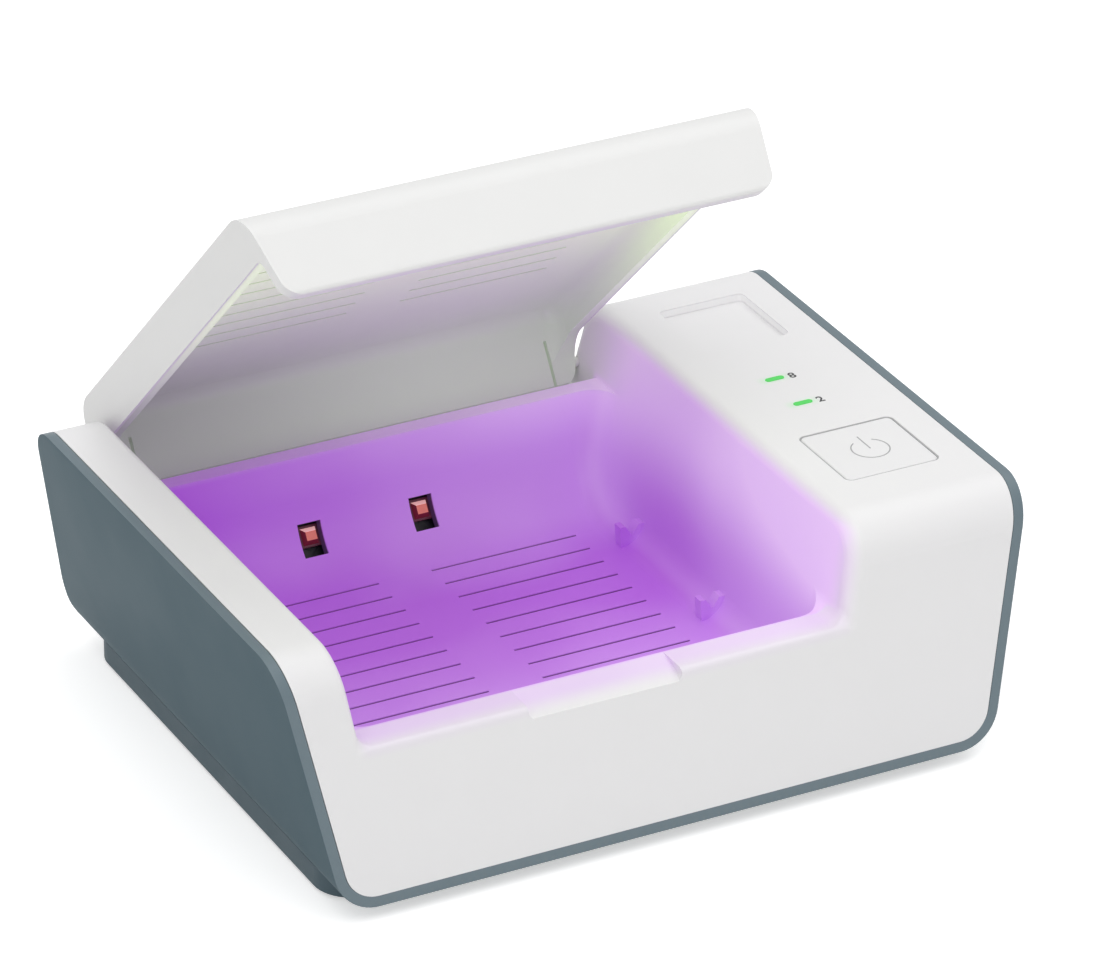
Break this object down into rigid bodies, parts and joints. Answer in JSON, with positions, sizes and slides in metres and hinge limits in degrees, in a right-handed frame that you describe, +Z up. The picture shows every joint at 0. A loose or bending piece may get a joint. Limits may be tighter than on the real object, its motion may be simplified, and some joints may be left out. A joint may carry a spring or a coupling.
{
  "type": "hearing aid dryer",
  "caption": "Wedge-sided tabletop dryer: open drying chamber under a rear-hinged lid, a side console with a push button, and slate side panels.",
  "frame": {"origin": "bottom centre of the whole object's box, lid open, on the surface it stands on", "axes": "+Z up, -Y to the front with the finger notch, +X to the console side"},
  "size_m": [0.1176, 0.0924, 0.0921],
  "materials": {
    "white_shell": "satin white ABS moulding",
    "lid_white": "satin white ABS moulding",
    "slate": "fine matte slate-grey moulding",
    "base_slate": "fine matte slate-grey moulding",
    "button_white": "satin white cap",
    "foot_rubber": "matt rubber",
    "screw_steel": "zinc-plated",
    "board_green": "solder mask on fibre board",
    "uv_board_black": "black solder mask",
    "uv_chip": "moulded emitter",
    "light_green": "lit translucent guide",
    "led_white": "small emitter",
    "chip_black": "moulded epoxy",
    "can_aluminium": "drawn can",
    "socket_steel": "tinned shell",
    "black_plastic": "moulded",
    "plunger_cream": "moulded",
    "duct_grey": "heat-resistant moulding",
    "heater_aluminium": "plain sheet",
    "ceramic": "fired ceramic element",
    "fuse_white": "ceramic body"
  },
  "bodies": {
    "housing": {"upper_shell": "white_shell", "cradle": "slate", "base_plate": "base_slate", "rubber_feet": "foot_rubber", "base_screws": "screw_steel", "board_screws": "screw_steel", "uv_board_screws": "screw_steel", "heater_screws": "screw_steel", "fan_screws": "screw_steel", "main_board": "board_green", "uv_board": "uv_board_black", "uv_chips": "uv_chip", "light_bars": "light_green", "indicator_leds": "led_white", "controller_chip": "chip_black", "capacitors": "can_aluminium", "power_inlet": "socket_steel", "inlet_tongue": "black_plastic", "switch_housing": "black_plastic", "fan_frame": "black_plastic", "air_tray": "duct_grey", "air_duct": "duct_grey", "heater_plate": "heater_aluminium", "heater_core": "ceramic", "thermal_fuse": "fuse_white"},
    "lid": {"lid": "lid_white"},
    "power_button": {"power_button": "button_white", "switch_plunger": "plunger_cream"},
    "fan_rotor": {"fan_rotor": "black_plastic"}
  },
  "joints": [
    {"name": "lid_hinge", "type": "hinge", "parent": "housing", "child": "lid", "pos_m": [-0.00928, 0.04036, 0.0295], "axis": [1, 0, 0], "range_deg": [0, 44]},
    {"name": "button_press", "type": "slide", "parent": "housing", "child": "power_button", "axis": [0, 0, -1], "range_m": [0, 0.0005], "stiffness_N_per_m": 4000},
    {"name": "fan_spin", "type": "hinge", "parent": "housing", "child": "fan_rotor", "pos_m": [0.0393, 0.03496, 0.0175], "axis": [0, 1, 0], "continuous": true}
  ]
}
